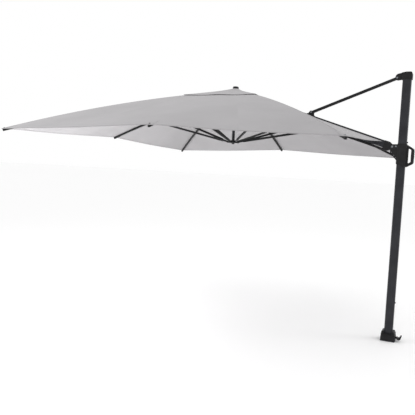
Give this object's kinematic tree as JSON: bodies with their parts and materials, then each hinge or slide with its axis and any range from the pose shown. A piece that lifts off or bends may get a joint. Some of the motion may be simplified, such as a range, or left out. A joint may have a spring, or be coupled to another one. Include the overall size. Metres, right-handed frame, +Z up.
{
  "type": "cantilever parasol",
  "caption": "Free-arm garden parasol: square cloth canopy on a folding rib frame, hung from a sloping boom and strut on a turning mast with a sliding carriage.",
  "frame": {"origin": "centre of the foot plate's underside, on the mast's turning axis", "axes": "+Z up along the mast, canopy towards -X, handle and pedal towards +X, +Y to the far side"},
  "size_m": [3.3008, 3.0096, 2.43],
  "materials": {
    "coated_frame": "anthracite powder coat, fine texture, satin",
    "coated_black": "black powder coat, satin",
    "moulded_black": "moulded black nylon, matt",
    "nylon": "natural nylon, matt",
    "zinc_steel": "zinc-plated steel, satin",
    "cloth": "woven polyester canvas, light warm grey"
  },
  "bodies": {
    "foot": {"foot_plate": "coated_frame", "foot_housing": "moulded_black", "spindle": "zinc_steel", "pedal_axle": "zinc_steel", "pedal_spring": "zinc_steel"},
    "pedal": {"pedal_lever": "moulded_black"},
    "mast": {"mast_collar": "moulded_black", "spindle_bushes": "nylon", "mast_tube": "coated_frame", "mast_cap": "moulded_black", "stop_knobs": "moulded_black", "strut_pin": "zinc_steel"},
    "strut": {"strut_tube": "coated_black", "strut_top_end": "coated_black", "strut_eye": "coated_black"},
    "boom": {"boom_tube": "coated_frame", "boom_root": "coated_black", "boom_saddle": "coated_black", "saddle_pin": "zinc_steel", "boom_head": "coated_black"},
    "carriage": {"carriage_sleeve": "moulded_black", "carriage_glides": "moulded_black", "carriage_handle": "moulded_black", "carriage_bolts": "zinc_steel", "carriage_screws": "zinc_steel"},
    "lock": {"lock_lever": "moulded_black"},
    "crown": {"crown_hub": "moulded_black", "crown_hinge_pin": "zinc_steel", "rib_pins": "zinc_steel", "crown_cap": "moulded_black"},
    "runner": {"centre_pole": "coated_frame", "runner_hub": "moulded_black", "runner_tip": "moulded_black"},
    "rib_arm_1": {"rib_1": "coated_black", "canopy_gore_1": "cloth"},
    "stretcher_arm_1": {"stretcher_1": "coated_black"},
    "rib_arm_2": {"rib_2": "coated_black", "canopy_gore_2": "cloth"},
    "stretcher_arm_2": {"stretcher_2": "coated_black"},
    "rib_arm_3": {"rib_3": "coated_black", "canopy_gore_3": "cloth"},
    "stretcher_arm_3": {"stretcher_3": "coated_black"},
    "rib_arm_4": {"rib_4": "coated_black", "canopy_gore_4": "cloth"},
    "stretcher_arm_4": {"stretcher_4": "coated_black"},
    "rib_arm_5": {"rib_5": "coated_black", "canopy_gore_5": "cloth"},
    "stretcher_arm_5": {"stretcher_5": "coated_black"},
    "rib_arm_6": {"rib_6": "coated_black", "canopy_gore_6": "cloth"},
    "stretcher_arm_6": {"stretcher_6": "coated_black"},
    "rib_arm_7": {"rib_7": "coated_black", "canopy_gore_7": "cloth"},
    "stretcher_arm_7": {"stretcher_7": "coated_black"},
    "rib_arm_8": {"rib_8": "coated_black", "canopy_gore_8": "cloth"},
    "stretcher_arm_8": {"stretcher_8": "coated_black"}
  },
  "joints": [
    {"name": "pedal_press", "type": "hinge", "parent": "foot", "child": "pedal", "pos_m": [0.054, 0, 0.034], "axis": [0, 1, 0], "range_deg": [0, 9], "stiffness_Nm_per_rad": 4, "springref_deg": -6.88},
    {"name": "mast_turn", "type": "hinge", "parent": "foot", "child": "mast", "pos_m": [0, 0, 0], "axis": [0, 0, 1], "continuous": true},
    {"name": "strut_fold", "type": "hinge", "parent": "mast", "child": "strut", "pos_m": [-0.085, 0, 2.38], "axis": [0, -1, 0], "range_deg": [0, 60.45]},
    {"name": "boom_fold", "type": "hinge", "parent": "strut", "child": "boom", "pos_m": [-0.86, 0, 2.074], "axis": [0, 1, 0], "range_deg": [0, 120.92]},
    {"name": "crown_level", "type": "hinge", "parent": "boom", "child": "crown", "pos_m": [-1.577, 0, 2.24129], "axis": [0, -1, 0], "range_deg": [0, 60.46]},
    {"name": "carriage_slide", "type": "slide", "parent": "mast", "child": "carriage", "axis": [0, 0, -1], "range_m": [0, 1.0387]},
    {"name": "lock_squeeze", "type": "hinge", "parent": "carriage", "child": "lock", "pos_m": [0.086, 0, 1.736], "axis": [0, -1, 0], "range_deg": [0, 3], "stiffness_Nm_per_rad": 3, "springref_deg": -2.86},
    {"name": "runner_slide", "type": "slide", "parent": "crown", "child": "runner", "axis": [0, 0, -1], "range_m": [0, 1.3444]},
    {"name": "rib_hinge_1", "type": "hinge", "parent": "crown", "child": "rib_arm_1", "pos_m": [-1.615, 0, 2.20456], "axis": [0, 1, 0], "range_deg": [0, 68.91], "deforming": ["canopy_gore_1"]},
    {"name": "stretcher_hinge_1", "type": "hinge", "parent": "rib_arm_1", "child": "stretcher_arm_1", "pos_m": [-0.75781, 0, 1.91376], "axis": [0, -1, 0], "range_deg": [0, 146.62]},
    {"name": "rib_hinge_2", "type": "hinge", "parent": "crown", "child": "rib_arm_2", "pos_m": [-1.63316, 0.04384, 2.262], "axis": [-0.7071, 0.7071, 0], "range_deg": [0, 71.71], "deforming": ["canopy_gore_2"]},
    {"name": "stretcher_hinge_2", "type": "hinge", "parent": "rib_arm_2", "child": "stretcher_arm_2", "pos_m": [-1.00754, 0.66946, 2.05753], "axis": [0.7071, -0.7071, 0], "range_deg": [0, 138.32]},
    {"name": "rib_hinge_3", "type": "hinge", "parent": "crown", "child": "rib_arm_3", "pos_m": [-1.677, 0.062, 2.262], "axis": [-1, 0, 0], "range_deg": [0, 67.75], "deforming": ["canopy_gore_3"]},
    {"name": "stretcher_hinge_3", "type": "hinge", "parent": "rib_arm_3", "child": "stretcher_arm_3", "pos_m": [-1.677, 0.94444, 1.96733], "axis": [1, 0, 0], "range_deg": [0, 140.96]},
    {"name": "rib_hinge_4", "type": "hinge", "parent": "crown", "child": "rib_arm_4", "pos_m": [-1.72084, 0.04384, 2.262], "axis": [-0.7071, -0.7071, 0], "range_deg": [0, 71.71], "deforming": ["canopy_gore_4"]},
    {"name": "stretcher_hinge_4", "type": "hinge", "parent": "rib_arm_4", "child": "stretcher_arm_4", "pos_m": [-2.34646, 0.66946, 2.05753], "axis": [0.7071, 0.7071, 0], "range_deg": [0, 138.32]},
    {"name": "rib_hinge_5", "type": "hinge", "parent": "crown", "child": "rib_arm_5", "pos_m": [-1.739, 0, 2.262], "axis": [0, -1, 0], "range_deg": [0, 67.75], "deforming": ["canopy_gore_5"]},
    {"name": "stretcher_hinge_5", "type": "hinge", "parent": "rib_arm_5", "child": "stretcher_arm_5", "pos_m": [-2.62144, 0, 1.96733], "axis": [0, 1, 0], "range_deg": [0, 140.96]},
    {"name": "rib_hinge_6", "type": "hinge", "parent": "crown", "child": "rib_arm_6", "pos_m": [-1.72084, -0.04384, 2.262], "axis": [0.7071, -0.7071, 0], "range_deg": [0, 71.71], "deforming": ["canopy_gore_6"]},
    {"name": "stretcher_hinge_6", "type": "hinge", "parent": "rib_arm_6", "child": "stretcher_arm_6", "pos_m": [-2.34646, -0.66946, 2.05753], "axis": [-0.7071, 0.7071, 0], "range_deg": [0, 138.32]},
    {"name": "rib_hinge_7", "type": "hinge", "parent": "crown", "child": "rib_arm_7", "pos_m": [-1.677, -0.062, 2.262], "axis": [1, 0, 0], "range_deg": [0, 67.75], "deforming": ["canopy_gore_7"]},
    {"name": "stretcher_hinge_7", "type": "hinge", "parent": "rib_arm_7", "child": "stretcher_arm_7", "pos_m": [-1.677, -0.94444, 1.96733], "axis": [-1, 0, 0], "range_deg": [0, 140.96]},
    {"name": "rib_hinge_8", "type": "hinge", "parent": "crown", "child": "rib_arm_8", "pos_m": [-1.63316, -0.04384, 2.262], "axis": [0.7071, 0.7071, 0], "range_deg": [0, 71.71], "deforming": ["canopy_gore_8"]},
    {"name": "stretcher_hinge_8", "type": "hinge", "parent": "rib_arm_8", "child": "stretcher_arm_8", "pos_m": [-1.00754, -0.66946, 2.05753], "axis": [-0.7071, -0.7071, 0], "range_deg": [0, 138.32]}
  ],
  "couplings": [
    {"joint": "boom_fold", "follows": "strut_fold", "ratio": 2},
    {"joint": "crown_level", "follows": "strut_fold", "ratio": 1},
    {"joint": "carriage_slide", "follows": "strut_fold", "m_per_rad": 0.98399},
    {"joint": "runner_slide", "follows": "strut_fold", "m_per_rad": 1.2737},
    {"joint": "rib_hinge_1", "follows": "strut_fold", "ratio": 1.1397},
    {"joint": "stretcher_hinge_1", "follows": "strut_fold", "ratio": 2.4251},
    {"joint": "rib_hinge_2", "follows": "strut_fold", "ratio": 1.186},
    {"joint": "stretcher_hinge_2", "follows": "strut_fold", "ratio": 2.2879},
    {"joint": "rib_hinge_3", "follows": "strut_fold", "ratio": 1.1205},
    {"joint": "stretcher_hinge_3", "follows": "strut_fold", "ratio": 2.3316},
    {"joint": "rib_hinge_4", "follows": "strut_fold", "ratio": 1.186},
    {"joint": "stretcher_hinge_4", "follows": "strut_fold", "ratio": 2.2879},
    {"joint": "rib_hinge_5", "follows": "strut_fold", "ratio": 1.1205},
    {"joint": "stretcher_hinge_5", "follows": "strut_fold", "ratio": 2.3316},
    {"joint": "rib_hinge_6", "follows": "strut_fold", "ratio": 1.186},
    {"joint": "stretcher_hinge_6", "follows": "strut_fold", "ratio": 2.2879},
    {"joint": "rib_hinge_7", "follows": "strut_fold", "ratio": 1.1205},
    {"joint": "stretcher_hinge_7", "follows": "strut_fold", "ratio": 2.3316},
    {"joint": "rib_hinge_8", "follows": "strut_fold", "ratio": 1.186},
    {"joint": "stretcher_hinge_8", "follows": "strut_fold", "ratio": 2.2879}
  ]
}
